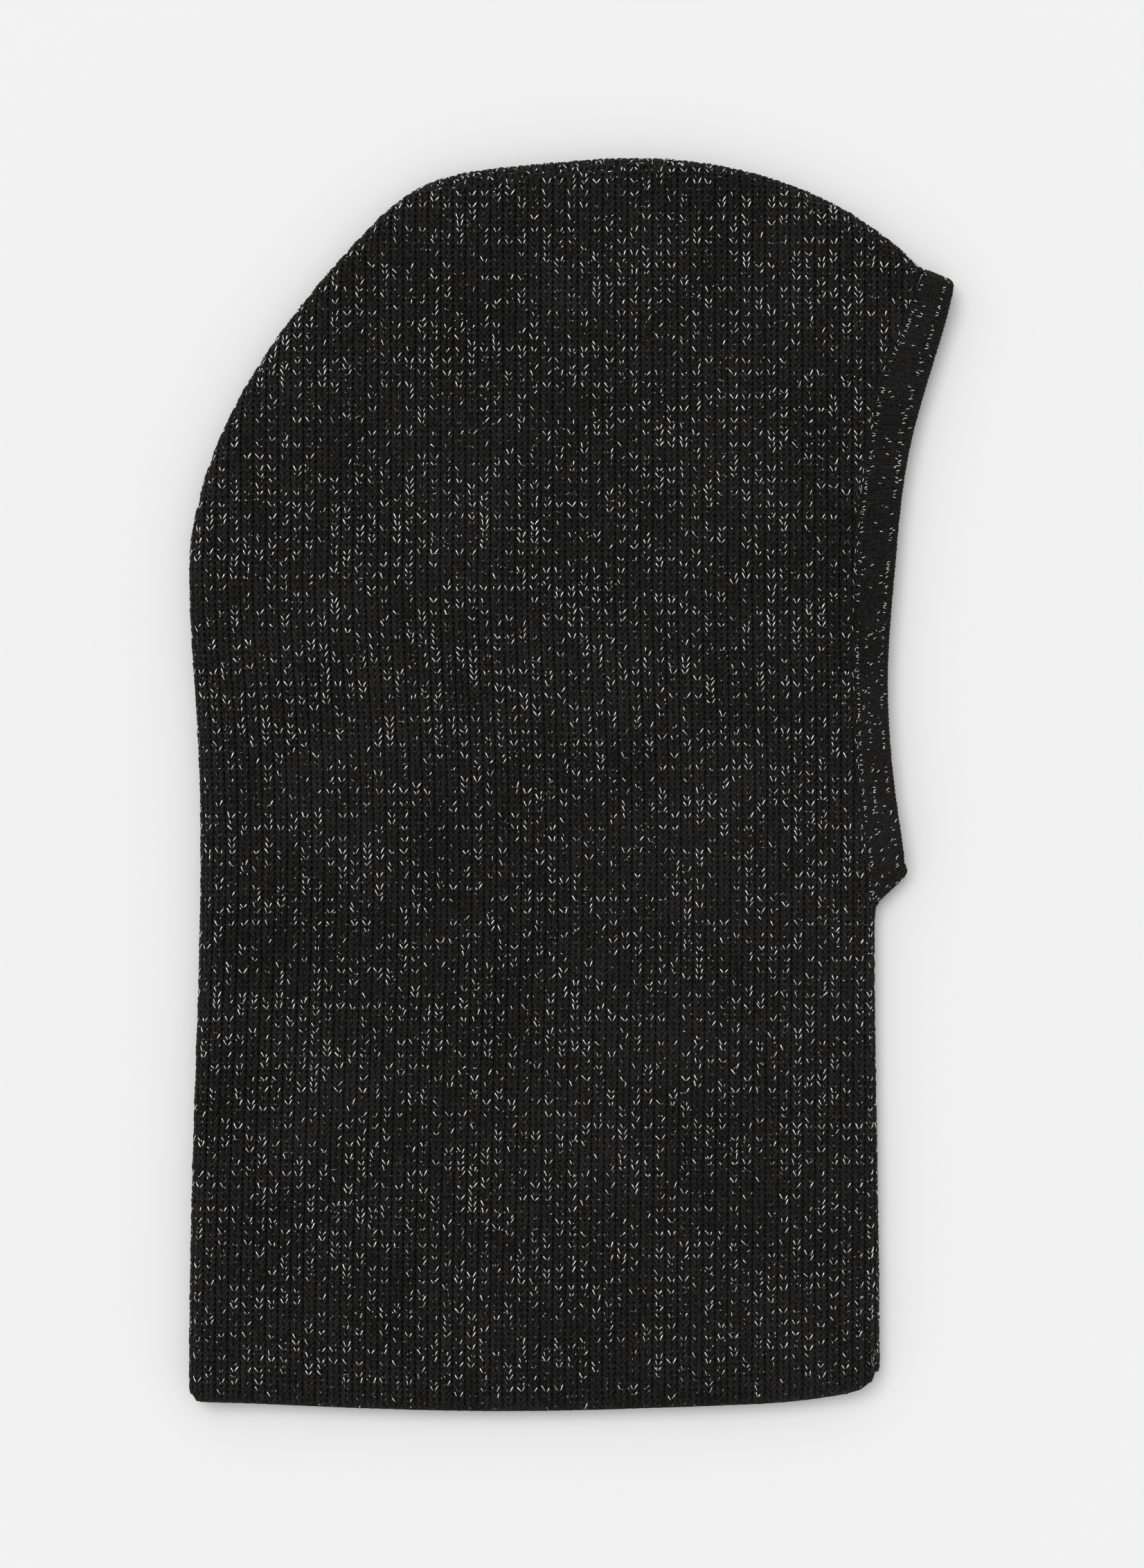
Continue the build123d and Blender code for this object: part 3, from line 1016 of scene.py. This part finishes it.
# %% The blank label
def label_sheet():
    """The label as a thin closed sheet."""
    size = label_high - label_low
    x, y = np.meshgrid(np.linspace(0, 1, 35), np.linspace(0, 1, 17), indexing="ij")
    wave = 0.10 * mm * (1 + np.sin(9 * x + 4 * y))
    plan = np.column_stack([(label_low[0] + x * size[0]).ravel(), (label_low[1] + y * size[1]).ravel()])
    low = np.column_stack([plan, (label_low[2] + 0 * wave).ravel()])
    high = np.column_stack([plan, (label_low[2] + 0.35 * mm + wave).ravel()])
    n, m = x.shape
    first = (np.arange(n - 1)[:, None] * m + np.arange(m - 1)).ravel()
    top = np.stack([first, first + m, first + m + 1, first + 1], 1)
    count = n * m
    ids = np.arange(count).reshape(n, m)
    loop = np.concatenate([ids[:, 0], ids[-1, 1:], ids[-2::-1, -1], ids[0, -2:0:-1]])
    following = np.roll(loop, -1)
    walls = np.stack([loop, following, following + count, loop + count], 1)
    faces = [np.concatenate([top + count, top[:, ::-1], walls])]
    piece = mesh_piece("blank_label", np.concatenate([low, high]), faces, label_material())
    return piece


label = label_sheet()


# %% Its stitches
RUN_ALONG = np.array([-1.2, -0.9, 0.0, 0.9, 1.2]) * mm
RUN_LIFT = np.array([-0.4, 0.1, 0.2, 0.1, -0.4]) * mm
run_middles = label_low[0] + np.linspace(0.08, 0.92, 9) * (label_high[0] - label_low[0])
run_x = run_middles[:, None] + RUN_ALONG
run_y = np.full_like(run_x, label_high[1] - 1.2 * mm)
run_z = np.tile(label_low[2] + 0.55 * mm + RUN_LIFT, (len(run_middles), 1))
runs = np.stack([run_x, run_y, run_z], -1)
ups = np.tile([0.0, 0.0, 1.0], (*runs.shape[:2], 1))
co, faces, size = tubes(runs, ups, 0.2 * mm, 0.16 * mm, 6)
label_thread = mesh_piece("label_thread", co, faces, SEAM_YARN, {"tone": np.full(len(co), 0.3)})
print("label", ((label_high - label_low) / mm).round(1), "mm with", len(runs), "stitches")


# %% [markdown]
# ## What takes the place of the CAD solids
#
# The CAD solids of the fabric are plain. They stay in the frame for contact and weight, and are
# hidden here, each behind the knitted piece that stands for it.


# %% Replacements
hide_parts("panel_near_side", "panel_back_fold", "crown_turn_near", "throat_turn_near")
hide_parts("panel_far_side", "crown_turn_far", "throat_turn_far")
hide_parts("face_band_near", "face_band_top_turn", "face_band_chin_near")
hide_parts("face_band_far", "face_band_chin_far")
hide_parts("crown_seam")
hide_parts("throat_seam")
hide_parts("chin_join")
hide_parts("linking_seam_near")
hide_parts("linking_seam_far")
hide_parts("seam_end_knot")
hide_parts("care_label")
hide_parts("label_stitches")


# %% [markdown]
# ## Floor, light and camera
#
# The hood lies on a plain white floor under a broad, even light, so that only a soft shadow shows
# round its edge. A wide sun gives that shadow and the even world fills it. The camera looks
# straight down through a long lens, which keeps the outline true.


# %% Floor
floor_material, tree, shader = node_material("white_floor")
shader.inputs["Base Color"].default_value = (0.84, 0.84, 0.84, 1)
shader.inputs["Roughness"].default_value = 0.9
shader.inputs["Specular IOR Level"].default_value = 0.0
bpy.ops.mesh.primitive_plane_add(size=14, location=(0, 0, float(LOWEST[2])))
floor = bpy.context.object
floor.name = "floor"
floor.data.materials.append(floor_material)
floor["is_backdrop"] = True


# %% Light
world = bpy.data.worlds.new("even_light")
bpy.context.scene.world = world
world.use_nodes = True
world.node_tree.nodes["Background"].inputs["Color"].default_value = (1, 1, 1, 1)
world.node_tree.nodes["Background"].inputs["Strength"].default_value = 0.68

sun = bpy.data.lights.new("window", "SUN")
sun.energy = 1.30
sun.angle = math.radians(35)
lamp = bpy.data.objects.new("window", sun)
lamp.rotation_euler = Vector((-0.25, 0.32, 1.0)).to_track_quat("Z", "Y").to_euler()
bpy.context.scene.collection.objects.link(lamp)


# %% Camera
VIEW_HEIGHT = 526.1 * mm  # the height of the view at the hood's middle
camera_data = bpy.data.cameras.new("camera")
camera_data.sensor_fit = "VERTICAL"
camera_data.sensor_height = 36
camera_data.lens = 100
camera = bpy.data.objects.new("camera", camera_data)
distance = VIEW_HEIGHT * camera_data.lens / camera_data.sensor_height
camera.location = (0, 0, MIDDLE + distance)
bpy.context.scene.collection.objects.link(camera)
bpy.context.scene.camera = camera
bpy.context.scene.view_settings.view_transform = "Standard"
print("camera", round(camera.location.z, 3), "m up")


# %% [markdown]
# ## Size
#
# The looks must not change the size of the hood, so its box is printed beside the frame's own.


# %% Print both boxes and finish
boxes = {"cad": CAD_BOX, "visual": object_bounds()}
boxes = {name: [[float(value) for value in corner] for corner in box] for name, box in boxes.items()}
print(boxes)
